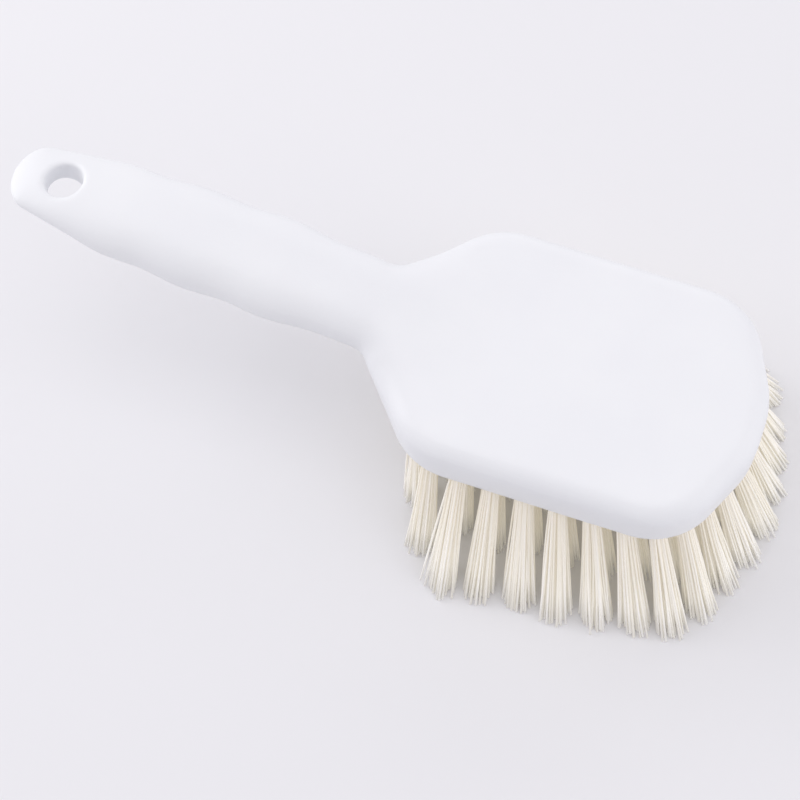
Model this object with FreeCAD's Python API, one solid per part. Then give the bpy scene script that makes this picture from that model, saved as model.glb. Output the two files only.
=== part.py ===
"""Hand brush with a one-piece moulded block and handle, and staple-set tufts of filament.

Millimetres, +Z up. The brush stands on its bristle tips at z = 0. X runs along the brush,
with the nose at +X and the handle at -X, and Y = 0 is its plane of symmetry. The origin is
at the middle of the footprint of the whole brush.

The shapes are first laid out from the underside of the block (z = 0 there) and from the
neck (x = 0 there), then every piece is moved to the frame above.
"""

import FreeCAD, Part
import math
import os

Vector = FreeCAD.Vector
UP = Vector(0, 0, 1)

# Overall length of the moulding: 8 inches.
OVERALL_LENGTH = 203.0
NOSE_X = 98.7
HANDLE_END_X = NOSE_X - OVERALL_LENGTH

# Block: a D-shaped slab with soft edges.
BLOCK_THICKNESS = 14.5
TOP_EDGE_RADIUS = 5.0
BOTTOM_EDGE_RADIUS = 1.0

# Corners of the block's outline on the +Y side: x, y and the radius that rounds each.
NOSE_CORNER = (NOSE_X, 7.8, 24.5)
FRONT_CORNER = (87.5, 33.3, 19.0)
REAR_CORNER = (17.9, 34.3, 20.0)
NECK_CORNER = (0.6, 15.0, 4.0)
# The tufts stand in the same outline, cut short of the neck at this corner.
TUFT_FIELD_CORNER = (10.0, 25.5, 4.0)

# Handle sections: x, half width, height of the underside and height of the crest.
# The last four spread and sink into the block, which makes the neck.
HANDLE_SECTIONS = (
    (HANDLE_END_X, 8.6, 27.4, 30.0),
    (-98.0, 9.5, 24.6, 30.8),
    (-88.0, 11.0, 20.4, 31.6),
    (-76.0, 12.6, 16.0, 31.5),
    (-62.0, 13.1, 13.0, 30.9),
    (-48.0, 13.4, 10.9, 29.3),
    (-34.0, 13.6, 9.6, 27.1),
    (-20.0, 12.9, 7.7, 24.6),
    (-8.0, 12.2, 6.1, 22.2),
    (0.0, 12.3, 4.6, 20.0),
    (7.0, 15.0, 3.2, 17.4),
    (14.0, 19.5, 2.2, 15.2),
    (22.0, 25.0, 1.5, 13.6),
)
# From this x on, the end is rounded like the end of an egg. The steps say how far back from its
# tip the sections stand, and it is closed off flat at the first of them.
ROUNDED_FROM_X = -98.0
END_STEPS = (0.06, 0.40, 0.75)
END_ROUNDING = (ROUNDED_FROM_X - HANDLE_END_X) / (1 - END_STEPS[0])
# A section is a superellipse: 2 is an ellipse, and larger is squarer.
SQUARENESS = 2.35
SECTION_POINTS = 36

# The seam where the handle meets the block is filled in with this radius.
NECK_FILLET = 8.0

# Shallow finger waves along both sides of the grip.
WAVE_HEIGHT = 0.45
WAVE_PITCH = 24.0
WAVE_CREST_X = -53.0
WAVES_FROM_X = -84.0
WAVES_TO_X = -4.0
WAVE_STEP = 4.0

# Hanging hole, square to the middle of the thinner part at the handle's end.
HOLE_X = -90.0
HOLE_RADIUS = 5.0
HOLE_LEAN = math.radians(12.0)
HOLE_RIM_RADIUS = 0.6

# Tufts: bundles of filament set in drilled blind holes and trimmed level.
BRISTLE_TRIM = 38.0
TUFT_RADIUS = 2.25
TUFT_TIP_RADIUS = 4.4
TUFT_CLEARANCE = 0.1
HOLE_DEPTH = 11.0
# Rings of tufts: distance in from the block's edge, length of the ring's run round the nose on
# each side of the middle, and how many tufts stand along that run and along the rest of the side.
OUTER_RING = (6.0, 34.0, 5, 10)
SECOND_RING = (15.2, 22.0, 3, 8)
THIRD_RING = (24.4, 9.0, 1, 6)
MIDDLE_ROW = (43.0, 51.0, 59.0, 67.0)
RING_SAMPLES = 1440

# Flare: how far a tuft leans out, as the tangent of its angle.
# Along the brush, they stand upright up to the first x and lean towards the nose from there on.
# Across it, they lean out furthest at the second x, and less towards the nose and the rear.
UPRIGHT_X = 22.0
WIDEST_X = 30.0
FLARE_NOSE = 0.38
FLARE_SIDE = 0.58
FLARE_SIDE_AT_NOSE = 0.56
FLARE_SIDE_AT_REAR = 0.37

# Anchors: short flat wires across the bottom of each hole, which bite into its sides.
ANCHOR_LENGTH = 5.6
ANCHOR_HEIGHT = 2.4
ANCHOR_THICKNESS = 0.4
ANCHOR_ABOVE_FLOOR = 1.2


def flat(x, y):
    """A point in the plane of the block's underside."""
    return Vector(x, y, 0)


def corner_arc(before, corner, after):
    """Start, middle and end of the arc that rounds one corner of an outline."""
    point = flat(corner[0], corner[1])
    towards_before = (flat(before[0], before[1]) - point).normalize()
    towards_after = (flat(after[0], after[1]) - point).normalize()
    half_angle = towards_before.getAngle(towards_after) / 2
    setback = corner[2] / math.tan(half_angle)
    inward = (towards_before + towards_after).normalize()
    middle = point + inward * (corner[2] / math.sin(half_angle) - corner[2])
    return point + towards_before * setback, middle, point + towards_after * setback


def outline(last_corner):
    """The block's outline up to the last corner, as lines and tangent arcs mirrored about the X axis."""
    side = [NOSE_CORNER, FRONT_CORNER, REAR_CORNER, last_corner]
    corners = side + [(x, -y, radius) for x, y, radius in reversed(side)]
    count = len(corners)
    arcs = [corner_arc(corners[i - 1], corners[i], corners[(i + 1) % count]) for i in range(count)]
    edges = []
    for i in range(count):
        start, middle, end = arcs[i]
        edges.append(Part.LineSegment(arcs[i - 1][2], start).toShape())
        edges.append(Part.Arc(start, middle, end).toShape())
    return Part.Wire(edges)


def level_edges(shape, z):
    """The edges of a shape that lie in the plane at height z."""
    return [e for e in shape.Edges if abs(e.BoundBox.ZMin - z) < 1e-6 and abs(e.BoundBox.ZMax - z) < 1e-6]


def block_slab():
    """The block without its holes: flat above and below, soft along the top edge."""
    slab = Part.Face(outline(NECK_CORNER)).extrude(UP * BLOCK_THICKNESS)
    slab = slab.makeFillet(TOP_EDGE_RADIUS, level_edges(slab, BLOCK_THICKNESS))
    return slab.makeFillet(BOTTOM_EDGE_RADIUS, level_edges(slab, 0))


def blend(x, pairs):
    """Smooth value at x of a curve through (x, value) pairs, level with its neighbours' slopes."""
    xs = [p[0] for p in pairs]
    values = [p[1] for p in pairs]
    i = max(0, min(len(xs) - 2, sum(1 for a in xs if a <= x) - 1))

    def slope(k):
        first = max(0, k - 1)
        last = min(len(xs) - 1, k + 1)
        return (values[last] - values[first]) / (xs[last] - xs[first])

    span = xs[i + 1] - xs[i]
    t = (x - xs[i]) / span
    return (
        values[i] * (1 + 2 * t) * (1 - t) ** 2
        + slope(i) * span * t * (1 - t) ** 2
        + values[i + 1] * t * t * (3 - 2 * t)
        + slope(i + 1) * span * t * t * (t - 1)
    )


def finger_wave(x):
    """How far the grip's side stands out at x, fading in and out at the ends of the grip."""
    if not WAVES_FROM_X < x < WAVES_TO_X:
        return 0.0
    fade = math.sin(math.pi * (x - WAVES_FROM_X) / (WAVES_TO_X - WAVES_FROM_X)) ** 0.5
    return WAVE_HEIGHT * fade * math.cos(2 * math.pi * (x - WAVE_CREST_X) / WAVE_PITCH)


def section(x, half_width, bottom, top):
    """A closed superellipse across the handle at x."""
    power = 2 / SQUARENESS
    middle = (bottom + top) / 2
    half_height = (top - bottom) / 2
    points = []
    for i in range(SECTION_POINTS):
        angle = 2 * math.pi * i / SECTION_POINTS
        across, up = math.cos(angle), math.sin(angle)
        y = half_width * math.copysign(abs(across) ** power, across)
        z = middle + half_height * math.copysign(abs(up) ** power, up)
        points.append(Vector(x, y, z))
    steps = [i / SECTION_POINTS for i in range(SECTION_POINTS + 1)]
    curve = Part.BSplineCurve()
    curve.interpolate(points, PeriodicFlag=True, Parameters=steps)
    return Part.Wire(curve.toShape())


def handle_sizes(x):
    """Half width, underside and crest of the handle at x."""
    half_width = blend(x, [(s[0], s[1]) for s in HANDLE_SECTIONS]) + finger_wave(x)
    bottom = blend(x, [(s[0], s[2]) for s in HANDLE_SECTIONS])
    top = blend(x, [(s[0], s[3]) for s in HANDLE_SECTIONS])
    return half_width, bottom, top


def rounded_end_sections():
    """Sections that close the handle's end, shrinking like the end of an ellipsoid."""
    made = []
    for step in END_STEPS:
        x = ROUNDED_FROM_X - END_ROUNDING * (1 - step)
        share = math.sqrt(1 - (1 - step) ** 2)
        half_width, bottom, top = handle_sizes(x)
        middle = (bottom + top) / 2
        half_height = (top - bottom) / 2 * share
        made.append(section(x, half_width * share, middle - half_height, middle + half_height))
    return made


def handle_bar():
    """The handle and neck, as one loft that ends inside the block."""
    span = HANDLE_SECTIONS[-1][0] - ROUNDED_FROM_X
    count = round(span / WAVE_STEP)
    stations = [ROUNDED_FROM_X + span * i / count for i in range(count + 1)]
    wires = rounded_end_sections() + [section(x, *handle_sizes(x)) for x in stations]
    return Part.makeLoft(wires, True, False)


def hanging_hole():
    """The cutter for the hanging hole, which leans towards the nose."""
    bottom, top = handle_sizes(HOLE_X)[1:]
    axis = Vector(math.sin(HOLE_LEAN), 0, math.cos(HOLE_LEAN))
    centre = Vector(HOLE_X, 0, (bottom + top) / 2)
    reach = top - bottom
    return Part.makeCylinder(HOLE_RADIUS, 2 * reach, centre - axis * reach, axis)


def ring_points(ring):
    """Places of one ring's tufts: x and y of each, on the +Y side from the nose back."""
    inset, nose_run, nose_count, side_count = ring
    wire = outline(TUFT_FIELD_CORNER).makeOffset2D(-inset)
    middle_x = wire.BoundBox.Center.x
    half = [p for p in wire.discretize(Number=RING_SAMPLES) if p.y >= 0]
    half.sort(key=lambda p: math.atan2(p.y, p.x - middle_x))
    travelled = [0.0]
    for before, after in zip(half, half[1:]):
        travelled.append(travelled[-1] + before.distanceToPoint(after))
    side_run = travelled[-1] - nose_run
    stops = [nose_run * (i + 0.5) / nose_count for i in range(nose_count)]
    stops += [nose_run + side_run * (i + 0.5) / side_count for i in range(side_count)]
    places = []
    for stop in stops:
        nearest = min(range(len(half)), key=lambda i: abs(travelled[i] - stop))
        places.append((half[nearest].x, half[nearest].y))
    return places


def both_sides(places):
    """The places on the +Y side, then their mirror images."""
    return places + [(x, -y) for x, y in places]


def lean(x, y):
    """Direction of the tuft rooted at x, y: down, and out to the sides and the nose."""
    inset = OUTER_RING[0]
    first_x = TUFT_FIELD_CORNER[0] + inset
    last_x = NOSE_X - inset
    lean_x = FLARE_NOSE * max(0.0, (x - UPRIGHT_X) / (last_x - UPRIGHT_X))
    to_nose = max(0.0, (x - WIDEST_X) / (last_x - WIDEST_X))
    to_rear = max(0.0, (WIDEST_X - x) / (WIDEST_X - first_x))
    share = 1 - (1 - FLARE_SIDE_AT_NOSE) * to_nose - (1 - FLARE_SIDE_AT_REAR) * to_rear
    lean_y = FLARE_SIDE * share * y / (REAR_CORNER[1] - inset)
    return Vector(lean_x, lean_y, -1).normalize()


def drilled_hole(x, y):
    """The cutter for one blind hole, with a flat floor."""
    direction = lean(x, y)
    radius = TUFT_RADIUS + TUFT_CLEARANCE
    start = flat(x, y) - direction * HOLE_DEPTH
    return Part.makeCylinder(radius, HOLE_DEPTH + 2 * radius, start, direction)


def anchor(x, y):
    """One anchor: a flat wire across the hole, square to the tuft's lean."""
    direction = lean(x, y)
    outward = flat(x - WIDEST_X, y)
    across = direction.cross(outward).normalize()
    thick = across.cross(direction).normalize()
    centre = flat(x, y) - direction * (HOLE_DEPTH - ANCHOR_ABOVE_FLOOR - ANCHOR_HEIGHT / 2)
    box = Part.makeBox(ANCHOR_LENGTH, ANCHOR_THICKNESS, ANCHOR_HEIGHT)
    box.translate(Vector(-ANCHOR_LENGTH / 2, -ANCHOR_THICKNESS / 2, -ANCHOR_HEIGHT / 2))
    turn = FreeCAD.Rotation(across, thick, across.cross(thick), "XYZ")
    box.Placement = FreeCAD.Placement(centre, turn).multiply(box.Placement)
    return box


def tuft(x, y):
    """One tuft: a round bundle in its hole that spreads towards its level-trimmed tips."""
    direction = lean(x, y)
    root = flat(x, y)
    inside = HOLE_DEPTH - TUFT_CLEARANCE
    bundle = Part.makeCylinder(TUFT_RADIUS, inside, root - direction * inside, direction)
    length = BRISTLE_TRIM / -direction.z
    overrun = 2 * TUFT_TIP_RADIUS
    spread = (TUFT_TIP_RADIUS - TUFT_RADIUS) / length
    end_radius = TUFT_RADIUS + spread * (length + overrun)
    brush = Part.makeCone(TUFT_RADIUS, end_radius, length + overrun, root, direction)
    size = 4 * OVERALL_LENGTH
    below = Part.makeBox(size, size, size, Vector(-size / 2, -size / 2, -size - BRISTLE_TRIM))
    whole = bundle.fuse(brush.cut(below)).removeSplitter()
    return whole.cut(anchor(x, y)).Solids[0]


def shared_edges(shape, first, second):
    """The edges of a shape between a face that passes the first test and one that passes the second."""
    found = []
    for edge in shape.Edges:
        faces = [face for face in shape.Faces if any(edge.isSame(other) for other in face.Edges)]
        if any(first(face) for face in faces) and any(second(face) for face in faces):
            found.append(edge)
    return found


def is_grip(face):
    """Whether a face is the long side of the handle."""
    return face.BoundBox.XLength > OVERALL_LENGTH / 3 and face.BoundBox.XMin < HOLE_X


def is_block(face):
    """Whether a face belongs to the block."""
    return face.BoundBox.XMin > 0


def is_hole_wall(face):
    """Whether a face is the wall of the hanging hole."""
    round_wall = isinstance(face.Surface, Part.Cylinder)
    return round_wall and abs(face.Surface.Radius - HOLE_RADIUS) < 1e-6 and face.BoundBox.XMax < 0


def moulding(places):
    """The block and handle, with the hanging hole, the tuft holes and the anchor slots."""
    body = block_slab().fuse(handle_bar()).removeSplitter()
    body = body.makeFillet(NECK_FILLET, shared_edges(body, is_grip, is_block))
    body = body.cut(hanging_hole())
    body = body.makeFillet(HOLE_RIM_RADIUS, shared_edges(body, is_grip, is_hole_wall))
    holes = [drilled_hole(x, y) for x, y in places]
    slots = [anchor(x, y) for x, y in places]
    return body.cut(Part.makeCompound(holes)).cut(Part.makeCompound(slots))


def frame_shift():
    """The move from the layout's datum to the middle of the footprint, on the ground."""
    nose_x, nose_y = ring_points(OUTER_RING)[0]
    direction = lean(nose_x, nose_y)
    tips_x = nose_x + direction.x / -direction.z * BRISTLE_TRIM + TUFT_TIP_RADIUS
    return Vector(-(tips_x + HANDLE_END_X) / 2, 0, BRISTLE_TRIM)


def save(name, shape, shift):
    """Writes one piece as a STEP file in the brush's own frame."""
    placed = shape.copy()
    placed.translate(shift)
    placed.exportStep(f"parts/{name}.step")


def main():
    os.makedirs("parts", exist_ok=True)
    shift = frame_shift()
    outer = both_sides(ring_points(OUTER_RING))
    second = both_sides(ring_points(SECOND_RING))
    inner = both_sides(ring_points(THIRD_RING)) + [(x, 0) for x in MIDDLE_ROW]
    everywhere = outer + second + inner
    save("block_handle", moulding(everywhere), shift)
    for name, places in (("outer_tuft", outer), ("second_tuft", second)):
        for number, (x, y) in enumerate(places, 1):
            save(f"{name}_{number:02d}", tuft(x, y), shift)
    save("inner_tufts", Part.makeCompound([tuft(x, y) for x, y in inner]), shift)
    save("anchors", Part.makeCompound([anchor(x, y) for x, y in everywhere]), shift)
    print("tufts:", len(outer), len(second), len(inner), "shift:", shift)


main()
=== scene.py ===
"""Looks of the white hand brush: a one-piece moulded block and handle with tufts of ivory filament.

Shapes are worked out in millimetres from the neck (x = 0) and the underside of the block (z = 0),
as in the part's own layout. Meshes are moved to the row's frame, in metres, when they are made.
"""

import math

import bpy
import numpy as np
import openvdb
from mathutils import Matrix, Vector


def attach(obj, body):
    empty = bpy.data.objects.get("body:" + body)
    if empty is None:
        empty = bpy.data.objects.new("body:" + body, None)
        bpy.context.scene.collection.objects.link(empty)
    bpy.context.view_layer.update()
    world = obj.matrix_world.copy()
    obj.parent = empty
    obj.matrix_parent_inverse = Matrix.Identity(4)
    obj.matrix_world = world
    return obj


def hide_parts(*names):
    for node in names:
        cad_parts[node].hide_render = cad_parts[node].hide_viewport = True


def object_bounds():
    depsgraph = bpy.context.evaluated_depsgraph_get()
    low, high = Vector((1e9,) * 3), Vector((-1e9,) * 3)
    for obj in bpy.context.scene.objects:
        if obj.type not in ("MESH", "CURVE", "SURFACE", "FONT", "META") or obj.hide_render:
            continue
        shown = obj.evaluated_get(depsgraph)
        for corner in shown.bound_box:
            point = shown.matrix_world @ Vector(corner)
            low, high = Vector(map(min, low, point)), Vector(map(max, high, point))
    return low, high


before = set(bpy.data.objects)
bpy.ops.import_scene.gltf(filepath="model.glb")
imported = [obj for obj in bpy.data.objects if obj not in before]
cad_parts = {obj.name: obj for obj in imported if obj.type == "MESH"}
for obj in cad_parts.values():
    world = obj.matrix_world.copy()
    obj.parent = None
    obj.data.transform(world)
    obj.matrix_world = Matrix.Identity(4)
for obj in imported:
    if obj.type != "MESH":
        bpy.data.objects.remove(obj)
CAD_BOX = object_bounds()

MM = 0.001
ARC_STEPS = 12
# Larger than any distance in the layout, and smaller than any.
FAR = 1e9
TINY = 1e-9
# From the layout's datum to the row's frame.
SHIFT = np.array((-3.613, 0.0, 38.0))
BOX_MM = [np.array(corner) / MM - SHIFT for corner in CAD_BOX]

# Block: a slab with this outline, as corners on the +Y side (x, y, rounding radius).
NOSE_X = 98.7
OUTLINE = ((NOSE_X, 7.8, 24.5), (87.5, 33.3, 19.0), (17.9, 34.3, 20.0), (0.6, 15.0, 4.0))
# The tufts stand in the same outline, cut short of the neck.
TUFT_FIELD = (*OUTLINE[:3], (10.0, 25.5, 4.0))
BLOCK_THICKNESS = 14.5
TOP_EDGE_RADIUS = 5.4
BOTTOM_EDGE_RADIUS = 1.0

# Handle sections: x, half width, height of the underside and height of the crest. The last
# ones sink into the block.
HANDLE = np.array(
    (
        (-104.3, 8.6, 27.4, 30.0),
        (-98.0, 9.5, 24.6, 30.8),
        (-88.0, 11.0, 20.4, 31.6),
        (-76.0, 12.6, 16.0, 31.5),
        (-62.0, 13.1, 13.0, 30.9),
        (-48.0, 13.4, 10.9, 29.3),
        (-34.0, 13.6, 9.6, 27.1),
        (-20.0, 12.9, 7.7, 24.6),
        (-8.0, 12.2, 6.1, 22.2),
        (0.0, 12.3, 4.6, 20.0),
        (7.0, 14.6, 3.4, 17.4),
        (14.0, 17.0, 3.0, 14.6),
        (22.0, 18.0, 0.0, 10.9),
        (30.0, 18.0, -5.2, 5.8),
    )
)
ROUNDED_FROM_X = -98.0
END_LENGTH = 6.25
# A section is a superellipse: 2 is an ellipse, and larger is squarer.
SQUARENESS = 2.35
NECK_BLEND = 8.0

# Shallow finger waves along the sides of the grip.
WAVE_HEIGHT = 0.45
WAVE_PITCH = 24.0
WAVE_CREST_X = -53.0
WAVES_FROM_X = -84.0
WAVES_TO_X = -4.0

HOLE_X = -90.0
HOLE_RADIUS = 4.9
HOLE_LEAN = math.radians(12.0)
HOLE_SOFTNESS = 1.6

# Grid that the moulding is meshed on.
GRID_STEP = 0.55
GRID_LOW = np.array((-108.0, -38.0, -3.0))
GRID_HIGH = np.array((102.0, 38.0, 39.5))
# The field is kept within this distance of the skin, and a flatter slope counts as this one.
FIELD_REACH = 3.0
LEAST_SLOPE = 0.02
# How far flat stretches may be merged into larger faces, from 0 to 1.
MERGING = 0.01

# Tufts.
TRIM = 38.0
TUFT_RADIUS = 2.2
TIP_RADIUS = 4.7
TUFT_HOLE_RADIUS = 2.4
TUFT_HOLE_DEPTH = 11.0
TUFT_HOLE_MARGIN = 2.0
TUFT_HOLE_SOFTNESS = 0.5
# Rings: distance in from the block's edge, run round the nose on each side of the middle, and
# how many tufts stand along that run and along the rest of the side.
OUTER_RING = (6.0, 34.0, 5, 10)
SECOND_RING = (15.2, 22.0, 3, 8)
THIRD_RING = (24.4, 9.0, 1, 6)
MIDDLE_ROW = (43.0, 51.0, 59.0, 67.0)
# A ring is found at this many angles, by halving the span that it can lie in.
RING_SAMPLES = 720
HALVINGS = 20

# Flare: how far a tuft leans out, as the tangent of its angle.
UPRIGHT_X = 22.0
WIDEST_X = 30.0
FLARE_NOSE = 0.38
FLARE_SIDE = 0.58
FLARE_SIDE_AT_NOSE = 0.56
FLARE_SIDE_AT_REAR = 0.37

# Filaments of one tuft.
FILAMENTS = 84
FILAMENT_RADIUS = 0.29
FILAMENT_SIDES = 6
FILAMENT_STOPS = np.array((-10.6, -2.0, 4.0, 12.0, 20.0, 29.0, 38.0))
STRAY_SHARE = 0.04
TUFT_WANDER = 0.012
# Spread of the tips: range over the tufts, scatter, scatter of the strays, bow and how the
# spread grows along the tuft.
SPREAD_RANGE = (0.92, 1.04)
TIP_SCATTER = 0.3
STRAY_SCATTER = 1.1
BOW = 0.25
SPREAD_POWER = 1.25
# Tips end at least this high over the ground, and a little higher at random.
LOWEST_TIP = 0.2
UNEVEN_SHAPE = 1.4
UNEVEN_SCALE = 0.3
UNEVEN_MOST = 1.8
BOX_MARGIN = 0.3

# Seeds of the rings' random draws: a tuft's number is added to its ring's.
OUTER_SEED = 500
SECOND_SEED = 600
INNER_SEED = 7

# Colours, linear.
PLASTIC_COLOUR = (0.85, 0.86, 0.88)
PLASTIC_SHADE = (0.83, 0.84, 0.865)
FILAMENT_DARK = (0.94, 0.92, 0.85)
FILAMENT_COLOUR = (0.975, 0.965, 0.925)
FILAMENT_LIGHT = (0.985, 0.98, 0.955)
# Painted shade: the filaments are painted darker and warmer towards the roots, deep in the bundle
# and up under the block, where shade falls.
TIP_PAINTED_SHADE = (1.0, 1.0, 1.0)
ROOT_PAINTED_SHADE = (0.90, 0.86, 0.79)
# Painted light: the filaments glow faintly, in place of light scattered inside the bundle.
FILAMENT_PAINTED_GLOW = (1.0, 0.93, 0.80)
FILAMENT_PAINTED_GLOW_STRENGTH = 0.1
STEEL_COLOUR = (0.60, 0.60, 0.61)
STEEL_SHADE = (0.42, 0.42, 0.43)
FLOOR_COLOUR = (0.81, 0.81, 0.83)
FLOOR_SIZE = 6.0

# Light.
SKY_COLOUR = (0.975, 0.95, 1.0)
SKY_STRENGTH = 0.64
# Soft lights on all sides, as in a photo tent: name, place and power in watts.
LIGHTS = (
    ("top", (0.0, 0.0, 1.3), 2.5),
    ("left", (-0.9, 0.0, 0.45), 4.6),
    ("right", (0.9, 0.0, 0.45), 2.6),
    ("far", (0.0, 0.9, 0.35), 1.3),
)
LIGHT_SIZE = 0.9

# Camera: the point it looks at, how far back it stands, its azimuth, elevation and roll, and
# its lens on a 36 mm sensor.
CAMERA_TARGET = (0.00534, -0.01739, 0.038)
CAMERA_DISTANCE = 0.3644
CAMERA_ANGLES = tuple(math.radians(a) for a in (29.76, 65.13, -9.62))
CAMERA_LENS = 63.0
CAMERA_NEAR = 0.01


# ---- Shape of the moulding ----


def outline_points(side):
    """An outline as a closed run of points, from its corners on the +Y side."""
    corners = [*side, *((x, -y, radius) for x, y, radius in reversed(side))]
    points = []
    for i, (x, y, radius) in enumerate(corners):
        corner = Vector((x, y))
        before = (Vector(corners[i - 1][:2]) - corner).normalized()
        after = (Vector(corners[(i + 1) % len(corners)][:2]) - corner).normalized()
        half_angle = before.angle(after) / 2
        centre = corner + (before + after).normalized() * radius / math.sin(half_angle)
        start = corner + before * radius / math.tan(half_angle) - centre
        end = corner + after * radius / math.tan(half_angle) - centre
        turn = start.angle_signed(end)
        for k in range(ARC_STEPS + 1):
            points.append(centre + Matrix.Rotation(-turn * k / ARC_STEPS, 2) @ start)
    return np.array([tuple(p) for p in points])


def outline_distance(points, x, y):
    """Signed distance in the plan from a closed outline, negative inside it."""
    nearest = np.full(x.shape, FAR)
    inside = np.zeros(x.shape, bool)
    for (ax, ay), (bx, by) in zip(points, np.roll(points, -1, axis=0)):
        dx, dy = bx - ax, by - ay
        length = dx * dx + dy * dy
        if length < TINY:
            continue
        t = np.clip(((x - ax) * dx + (y - ay) * dy) / length, 0, 1)
        nearest = np.minimum(nearest, (x - ax - t * dx) ** 2 + (y - ay - t * dy) ** 2)
        if ay != by:
            crosses = ((ay > y) != (by > y)) & (x < ax + (y - ay) * dx / dy)
            inside ^= crosses
    return np.sqrt(nearest) * np.where(inside, -1.0, 1.0)


def rounded_edge(side, level, radius):
    """Distance field of where two faces meet in an edge of that radius."""
    a = side + radius
    b = level + radius
    outside = np.sqrt(np.maximum(a, 0) ** 2 + np.maximum(b, 0) ** 2)
    return outside + np.minimum(np.maximum(a, b), 0) - radius


def smooth_min(a, b, width):
    """The lower of two fields, blended over that width."""
    near = np.maximum(width - np.abs(a - b), 0) / width
    return np.minimum(a, b) - near * near * width / 4


def smooth_max(a, b, width):
    return -smooth_min(-a, -b, width)


def handle_value(x, column):
    """One column of the handle's table at each x, on a smooth curve through its rows."""
    xs = HANDLE[:, 0]
    values = HANDLE[:, column]
    slopes = np.gradient(values, xs)
    slopes[1:-1] = (values[2:] - values[:-2]) / (xs[2:] - xs[:-2])
    x = np.clip(x, xs[0], xs[-1])
    i = np.clip(np.searchsorted(xs, x, side="right") - 1, 0, len(xs) - 2)
    span = xs[i + 1] - xs[i]
    t = (x - xs[i]) / span
    start = values[i] * (1 + 2 * t) * (1 - t) ** 2 + slopes[i] * span * t * (1 - t) ** 2
    end = values[i + 1] * t * t * (3 - 2 * t) + slopes[i + 1] * span * t * t * (t - 1)
    return start + end


def finger_wave(x):
    """How far the side of the grip stands out at each x."""
    share = np.clip((x - WAVES_FROM_X) / (WAVES_TO_X - WAVES_FROM_X), 0, 1)
    fade = np.sqrt(np.sin(math.pi * share).clip(0))
    return WAVE_HEIGHT * fade * np.cos(2 * math.pi * (x - WAVE_CREST_X) / WAVE_PITCH)


def handle_field(x, y, z):
    """Distance field of the handle, with a rounded end."""
    half_width = handle_value(x, 1) + finger_wave(x)
    bottom = handle_value(x, 2)
    top = handle_value(x, 3)
    middle = (bottom + top) / 2
    half_height = (top - bottom) / 2
    ring = np.abs(y / half_width) ** SQUARENESS + np.abs((z - middle) / half_height) ** SQUARENESS
    past_end = np.maximum(ROUNDED_FROM_X - x, 0) / END_LENGTH
    field = np.sqrt(ring ** (2 / SQUARENESS) + past_end**2) - 1
    slope = np.sqrt(sum(g * g for g in np.gradient(field, GRID_STEP)))
    field = field / np.maximum(slope, LEAST_SLOPE)
    return np.maximum(field, x - HANDLE[-1, 0])


def cut_tuft_holes(field, axes, places):
    """Takes each tuft's blind hole out of the field, in the small box of cells round it."""
    reach = TUFT_HOLE_RADIUS + TUFT_HOLE_MARGIN
    for px, py in places:
        direction = lean(px, py)
        start = np.array((px, py, 0.0)) - direction * TUFT_HOLE_DEPTH
        mouth = (px, py, -TUFT_HOLE_MARGIN)
        low = np.minimum(start, mouth) - reach
        high = np.maximum(start, mouth) + reach
        cells = [
            slice(*np.searchsorted(axis.ravel(), (low[i], high[i]))) for i, axis in enumerate(axes)
        ]
        away = [axis.ravel()[cells[i]] - start[i] for i, axis in enumerate(axes)]
        ax, ay, az = np.meshgrid(*away, indexing="ij")
        along = ax * direction[0] + ay * direction[1] + az * direction[2]
        across = np.sqrt(np.maximum(ax * ax + ay * ay + az * az - along * along, 0))
        hole = np.maximum(across - TUFT_HOLE_RADIUS, -along)
        field[tuple(cells)] = smooth_max(field[tuple(cells)], -hole, TUFT_HOLE_SOFTNESS)


def moulding_mesh(places):
    """The block, neck and handle as one skin."""
    counts = np.round((GRID_HIGH - GRID_LOW) / GRID_STEP).astype(int) + 1
    line = [GRID_LOW[i] + GRID_STEP * np.arange(counts[i]) for i in range(3)]
    x = line[0].reshape(-1, 1, 1).astype(np.float32)
    y = line[1].reshape(1, -1, 1).astype(np.float32)
    z = line[2].reshape(1, 1, -1).astype(np.float32)

    flat_x, flat_y = np.broadcast_arrays(x[:, :, 0], y[:, :, 0])
    plan = outline_distance(outline_points(OUTLINE), flat_x, flat_y)[:, :, None]
    block = rounded_edge(plan, z - BLOCK_THICKNESS, TOP_EDGE_RADIUS)
    field = smooth_min(block, handle_field(x, y, z), NECK_BLEND)
    field = rounded_edge(field, -z, BOTTOM_EDGE_RADIUS)

    axis = (math.sin(HOLE_LEAN), math.cos(HOLE_LEAN))
    middle = (handle_value(HOLE_X, 2) + handle_value(HOLE_X, 3)) / 2
    sideways = (x - HOLE_X) * axis[1] - (z - middle) * axis[0]
    hole = HOLE_RADIUS - np.sqrt(sideways**2 + y**2)
    field = smooth_max(field, hole, HOLE_SOFTNESS)
    cut_tuft_holes(field, (x, y, z), places)

    grid = openvdb.FloatGrid()
    near_skin = np.clip(field, -FIELD_REACH, FIELD_REACH)
    grid.copyFromArray(np.ascontiguousarray(near_skin, np.float32))
    points, triangles, quads = grid.convertToPolygons(0.0, MERGING)
    points = GRID_LOW + points * GRID_STEP
    faces = [tuple(face[::-1]) for face in (*triangles.tolist(), *quads.tolist())]
    return points, faces


# ---- Shape of the tufts ----


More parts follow.
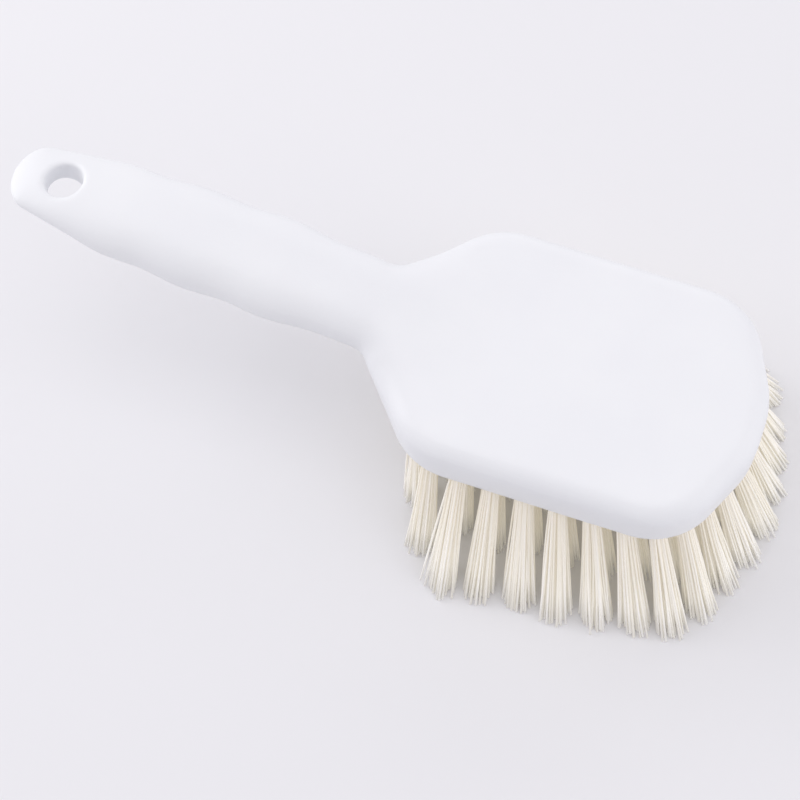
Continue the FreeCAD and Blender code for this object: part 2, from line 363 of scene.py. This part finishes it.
def ring_places(ring):
    """x and y of each tuft of a ring, on the +Y side from the nose back."""
    inset, nose_run, nose_count, side_count = ring
    outline = outline_points(TUFT_FIELD)
    middle_x = (outline[:, 0].min() + outline[:, 0].max()) / 2
    angle = np.linspace(0, math.pi, RING_SAMPLES)
    low = np.zeros(angle.shape)
    high = np.full(angle.shape, NOSE_X)
    for _ in range(HALVINGS):
        reach = (low + high) / 2
        x = middle_x + reach * np.cos(angle)
        y = reach * np.sin(angle)
        inside = outline_distance(outline, x, y) < -inset
        low = np.where(inside, reach, low)
        high = np.where(inside, high, reach)
    travelled = np.concatenate(([0], np.cumsum(np.hypot(np.diff(x), np.diff(y)))))
    side_run = travelled[-1] - nose_run
    stops = [nose_run * (i + 0.5) / nose_count for i in range(nose_count)]
    stops += [nose_run + side_run * (i + 0.5) / side_count for i in range(side_count)]
    return list(zip(np.interp(stops, travelled, x), np.interp(stops, travelled, y)))


def both_sides(places):
    return places + [(x, -y) for x, y in places]


def lean(x, y):
    """Direction of the tuft rooted at x, y: down, and out to the sides and the nose."""
    inset = OUTER_RING[0]
    first_x = TUFT_FIELD[3][0] + inset
    last_x = NOSE_X - inset
    lean_x = FLARE_NOSE * max(0.0, (x - UPRIGHT_X) / (last_x - UPRIGHT_X))
    to_nose = max(0.0, (x - WIDEST_X) / (last_x - WIDEST_X))
    to_rear = max(0.0, (WIDEST_X - x) / (WIDEST_X - first_x))
    share = 1 - (1 - FLARE_SIDE_AT_NOSE) * to_nose - (1 - FLARE_SIDE_AT_REAR) * to_rear
    lean_y = FLARE_SIDE * share * y / (OUTLINE[2][1] - inset)
    direction = np.array((lean_x, lean_y, -1.0))
    return direction / np.linalg.norm(direction)


def tuft_axes(x, y, rng):
    """A tuft's direction, which wanders a little, and two directions across it."""
    direction = lean(x, y) + rng.normal(0, TUFT_WANDER, 3) * (1, 1, 0)
    direction /= np.linalg.norm(direction)
    across = np.cross(direction, (0, 1, 0))
    across /= np.linalg.norm(across)
    return direction, across, np.cross(direction, across)


def filament_lines(x, y, axes, rng):
    """Middle line of each filament of a tuft, as points at the stops along it."""
    direction, across, third = axes
    length = TRIM / -direction[2]

    # Places of the filaments in the round hole, evenly spread.
    index = np.arange(FILAMENTS)
    radius = np.sqrt((index + 0.5) / FILAMENTS) * (TUFT_RADIUS - FILAMENT_RADIUS)
    angle = index * math.pi * (3 - math.sqrt(5)) + rng.uniform(0, 2 * math.pi)
    packed = np.stack((radius * np.cos(angle), radius * np.sin(angle)), 1)

    # Where each tip ends up beside the tuft's middle line.
    spread = (TIP_RADIUS - FILAMENT_RADIUS) / (TUFT_RADIUS - FILAMENT_RADIUS)
    tips = packed * spread * rng.uniform(*SPREAD_RANGE)
    tips += rng.normal(0, TIP_SCATTER, packed.shape)
    stray = rng.random(FILAMENTS) < STRAY_SHARE
    tips[stray] += rng.normal(0, STRAY_SCATTER, (stray.sum(), 2))
    bow = rng.normal(0, BOW, packed.shape)

    along = FILAMENT_STOPS / TRIM * length
    out = np.clip(along / length, 0, 1)[None, :, None]
    side = packed[:, None] + (tips - packed)[:, None] * out**SPREAD_POWER
    side = side + bow[:, None] * np.sin(math.pi * out)
    centre = np.array((x, y, 0.0)) + along[None, :, None] * direction
    return centre + side[..., :1] * across + side[..., 1:] * third


def cut_tips(lines, rng):
    """Cuts the tips to uneven heights above the ground, inside the CAD box."""
    extra = rng.gamma(UNEVEN_SHAPE, UNEVEN_SCALE, FILAMENTS).clip(0, UNEVEN_MOST)
    height = extra + LOWEST_TIP
    tip = lines[:, -1]
    before = lines[:, -2]
    share = (tip[:, 2] + TRIM - height) / (before[:, 2] - tip[:, 2])
    tip = tip + (before - tip) * -share[:, None]
    low, high = BOX_MM
    tip[:, :2] = np.clip(tip[:, :2], low[:2] + BOX_MARGIN, high[:2] - BOX_MARGIN)
    lines[:, -1] = tip


def tube_faces():
    """Faces of a tuft's filaments: each is a closed tube with a ring of points at every stop."""
    faces = []
    rings = len(FILAMENT_STOPS)
    for first in range(0, FILAMENTS * rings * FILAMENT_SIDES, rings * FILAMENT_SIDES):
        last = first + (rings - 1) * FILAMENT_SIDES
        for ring in range(first, last, FILAMENT_SIDES):
            for k in range(FILAMENT_SIDES):
                a = ring + k
                b = ring + (k + 1) % FILAMENT_SIDES
                faces.append((a, b, b + FILAMENT_SIDES, a + FILAMENT_SIDES))
        faces.append(tuple(range(first + FILAMENT_SIDES - 1, first - 1, -1)))
        faces.append(tuple(range(last, last + FILAMENT_SIDES)))
    return faces


def tuft_mesh(x, y, rng):
    """Points, faces and shades of the filaments of one tuft."""
    axes = tuft_axes(x, y, rng)
    lines = filament_lines(x, y, axes, rng)
    cut_tips(lines, rng)
    turn = 2 * math.pi * np.arange(FILAMENT_SIDES) / FILAMENT_SIDES
    rim = FILAMENT_RADIUS * (np.cos(turn)[:, None] * axes[1] + np.sin(turn)[:, None] * axes[2])
    points = lines[:, :, None, :] + rim
    shades = np.repeat(rng.random(FILAMENTS), len(FILAMENT_STOPS) * FILAMENT_SIDES)
    return points.reshape(-1, 3), tube_faces(), shades


# ---- Materials ----


def new_material(name):
    """A material with an empty Principled shader: its node tree, shader and object coordinates."""
    material = bpy.data.materials.new(name)
    material.use_nodes = True
    tree = material.node_tree
    shader = tree.nodes["Principled BSDF"]
    place = tree.nodes.new("ShaderNodeTexCoord")
    return material, tree, shader, place.outputs["Object"]


def noise(tree, place, scale, detail=2.0):
    """Noise from 0 to 1, with that many waves to the metre."""
    node = tree.nodes.new("ShaderNodeTexNoise")
    node.inputs["Scale"].default_value = scale
    node.inputs["Detail"].default_value = detail
    tree.links.new(place, node.inputs["Vector"])
    return node.outputs["Fac"]


def ramp(tree, value, stops):
    """Colour that follows a value from 0 to 1 through stops of (place, colour)."""
    node = tree.nodes.new("ShaderNodeValToRGB")
    elements = node.color_ramp.elements
    while len(elements) < len(stops):
        elements.new(position=0.5)
    for element, (at, colour) in zip(elements, stops):
        element.position = at
        element.color = (*colour, 1.0)
    tree.links.new(value, node.inputs["Fac"])
    return node.outputs["Color"]


def scaled(tree, value, low, high):
    """The value, from 0 to 1, mapped to between low and high."""
    node = tree.nodes.new("ShaderNodeMapRange")
    node.inputs["To Min"].default_value = low
    node.inputs["To Max"].default_value = high
    tree.links.new(value, node.inputs["Value"])
    return node.outputs["Result"]


def height_over_ground(tree, place):
    """0 on the ground, 1 at the underside of the block and above."""
    axes = tree.nodes.new("ShaderNodeSeparateXYZ")
    tree.links.new(place, axes.inputs["Vector"])
    node = tree.nodes.new("ShaderNodeMapRange")
    node.inputs["From Max"].default_value = TRIM * MM
    tree.links.new(axes.outputs["Z"], node.inputs["Value"])
    return node.outputs["Result"]


def multiplied(tree, colour, painted_root_shade):
    """The two colours multiplied."""
    node = tree.nodes.new("ShaderNodeVectorMath")
    node.operation = "MULTIPLY"
    tree.links.new(colour, node.inputs[0])
    tree.links.new(painted_root_shade, node.inputs[1])
    return node.outputs["Vector"]


def bump(tree, height, strength, distance, under=None):
    """A bumped normal, on top of another one if that is given."""
    node = tree.nodes.new("ShaderNodeBump")
    node.inputs["Strength"].default_value = strength
    node.inputs["Distance"].default_value = distance
    tree.links.new(height, node.inputs["Height"])
    if under is not None:
        tree.links.new(under, node.inputs["Normal"])
    return node.outputs["Normal"]


def moulded_plastic():
    """Satin white polypropylene with a fine moulded texture and faint cloudiness."""
    material, tree, shader, place = new_material("white_moulded_plastic")
    cloud = noise(tree, place, scale=45.0, detail=3.0)
    colour = ramp(tree, cloud, ((0.3, PLASTIC_SHADE), (0.7, PLASTIC_COLOUR)))
    tree.links.new(colour, shader.inputs["Base Color"])
    gloss = scaled(tree, noise(tree, place, scale=160.0, detail=4.0), low=0.34, high=0.46)
    tree.links.new(gloss, shader.inputs["Roughness"])
    fine = noise(tree, place, scale=1500.0)
    grain = bump(tree, fine, strength=0.10, distance=0.0002)
    wide = noise(tree, place, scale=60.0, detail=1.0)
    waviness = bump(tree, wide, strength=0.06, distance=0.002, under=grain)
    tree.links.new(waviness, shader.inputs["Normal"])
    shader.inputs["Specular IOR Level"].default_value = 0.45
    return material


def filament():
    """Ivory filament: glossy along its length, each one a little lighter or darker."""
    material, tree, shader, place = new_material("ivory_filament")
    strand = tree.nodes.new("ShaderNodeAttribute")
    strand.attribute_name = "shade"
    shades = ((0.0, FILAMENT_DARK), (0.6, FILAMENT_COLOUR), (1.0, FILAMENT_LIGHT))
    # Painted shade: from none at the tips to darker and warmer at the roots under the block.
    painted_root_shade = ramp(tree, height_over_ground(tree, place), ((0.0, TIP_PAINTED_SHADE), (1.0, ROOT_PAINTED_SHADE)))
    colour = multiplied(tree, ramp(tree, strand.outputs["Fac"], shades), painted_root_shade)
    tree.links.new(colour, shader.inputs["Base Color"])
    gloss = scaled(tree, noise(tree, place, scale=900.0), low=0.32, high=0.5)
    tree.links.new(gloss, shader.inputs["Roughness"])
    # Painted light: a faint glow from the filaments themselves, standing in for light that scatters
    # from filament to filament inside the bundle.
    shader.inputs["Emission Color"].default_value = (*FILAMENT_PAINTED_GLOW, 1.0)
    shader.inputs["Emission Strength"].default_value = FILAMENT_PAINTED_GLOW_STRENGTH
    return material


def drawn_wire():
    """Plain steel of the anchors."""
    material, tree, shader, place = new_material("drawn_steel_wire")
    shades = ((0.3, STEEL_SHADE), (0.7, STEEL_COLOUR))
    colour = ramp(tree, noise(tree, place, scale=700.0), shades)
    tree.links.new(colour, shader.inputs["Base Color"])
    gloss = scaled(tree, noise(tree, place, scale=1500.0), low=0.25, high=0.45)
    tree.links.new(gloss, shader.inputs["Roughness"])
    shader.inputs["Metallic"].default_value = 1.0
    return material


def studio_floor():
    """Plain pale paper."""
    material, _, shader, _ = new_material("pale_floor")
    shader.inputs["Base Color"].default_value = (*FLOOR_COLOUR, 1.0)
    shader.inputs["Roughness"].default_value = 0.9
    shader.inputs["Specular IOR Level"].default_value = 0.1
    return material


# ---- Pieces ----


def new_piece(name, points, faces, material, nodes):
    """A piece in the row's frame, from points in the layout, that stands for CAD nodes."""
    mesh = bpy.data.meshes.new(name)
    mesh.from_pydata(((points + SHIFT) * MM).tolist(), [], faces)
    mesh.shade_smooth()
    mesh.materials.append(material)
    piece = bpy.data.objects.new(name, mesh)
    bpy.context.scene.collection.objects.link(piece)
    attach(piece, "root")
    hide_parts(*nodes)
    return piece


def new_bundle(name, places, seed, material, node):
    """The filaments of one tuft or more as one piece."""
    rng = np.random.default_rng(seed)
    points, faces, shades = [], [], []
    count = 0
    for x, y in places:
        made_points, made_faces, made_shades = tuft_mesh(x, y, rng)
        points.append(made_points)
        faces += [tuple(i + count for i in face) for face in made_faces]
        shades.append(made_shades)
        count += len(made_points)
    piece = new_piece(name, np.concatenate(points), faces, material, [node])
    shade = piece.data.attributes.new("shade", "FLOAT", "POINT")
    shade.data.foreach_set("value", np.concatenate(shades).astype(np.float32))


def make_brush():
    outer = both_sides(ring_places(OUTER_RING))
    second = both_sides(ring_places(SECOND_RING))
    inner = both_sides(ring_places(THIRD_RING)) + [(x, 0.0) for x in MIDDLE_ROW]
    points, faces = moulding_mesh(outer + second + inner)
    new_piece("block_and_handle", points, faces, moulded_plastic(), ["block_handle"])
    ivory = filament()
    for ring, places, seed in (("outer", outer, OUTER_SEED), ("second", second, SECOND_SEED)):
        for number, place in enumerate(places, 1):
            name = f"{ring}_bristles_{number:02d}"
            new_bundle(name, [place], seed + number, ivory, f"{ring}_tuft_{number:02d}")
    new_bundle("inner_bristles", inner, INNER_SEED, ivory, "inner_tufts")
    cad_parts["anchors"].material_slots[0].material = drawn_wire()


# ---- Studio ----


def make_floor():
    mesh = bpy.data.meshes.new("floor")
    half = FLOOR_SIZE / 2
    corners = [(-half, -half, 0), (half, -half, 0), (half, half, 0), (-half, half, 0)]
    mesh.from_pydata(corners, [], [range(len(corners))])
    mesh.materials.append(studio_floor())
    floor = bpy.data.objects.new("floor", mesh)
    bpy.context.scene.collection.objects.link(floor)


def make_area_light(name, place, power):
    """A square soft light at that place, aimed at the brush."""
    light = bpy.data.lights.new(name, "AREA")
    light.size = LIGHT_SIZE
    light.energy = power
    lamp = bpy.data.objects.new(name, light)
    lamp.location = place
    lamp.rotation_euler = (-Vector(place)).to_track_quat("-Z", "Y").to_euler()
    bpy.context.scene.collection.objects.link(lamp)


def make_light():
    world = bpy.data.worlds.new("studio")
    world.use_nodes = True
    sky = world.node_tree.nodes["Background"]
    sky.inputs["Color"].default_value = (*SKY_COLOUR, 1.0)
    sky.inputs["Strength"].default_value = SKY_STRENGTH
    bpy.context.scene.world = world
    for name, place, power in LIGHTS:
        make_area_light(name, place, power)
    bpy.context.scene.view_settings.view_transform = "Standard"


def make_camera():
    """The camera looks steeply down at the near side, rolled a little."""
    azimuth, elevation, roll = CAMERA_ANGLES
    right = Vector((math.cos(azimuth), math.sin(azimuth), 0))
    back = Vector(
        (
            math.sin(azimuth) * math.cos(elevation),
            -math.cos(azimuth) * math.cos(elevation),
            math.sin(elevation),
        )
    )
    up = back.cross(right)
    rolled_right = right * math.cos(roll) + up * math.sin(roll)
    rolled_up = up * math.cos(roll) - right * math.sin(roll)
    data = bpy.data.cameras.new("camera")
    data.lens = CAMERA_LENS
    data.clip_start = CAMERA_NEAR
    camera = bpy.data.objects.new("camera", data)
    camera.matrix_world = Matrix.Translation(Vector(CAMERA_TARGET) + back * CAMERA_DISTANCE) @ (
        Matrix((rolled_right, rolled_up, back)).transposed().to_4x4()
    )
    bpy.context.scene.collection.objects.link(camera)
    bpy.context.scene.camera = camera


make_brush()
make_floor()
make_light()
make_camera()
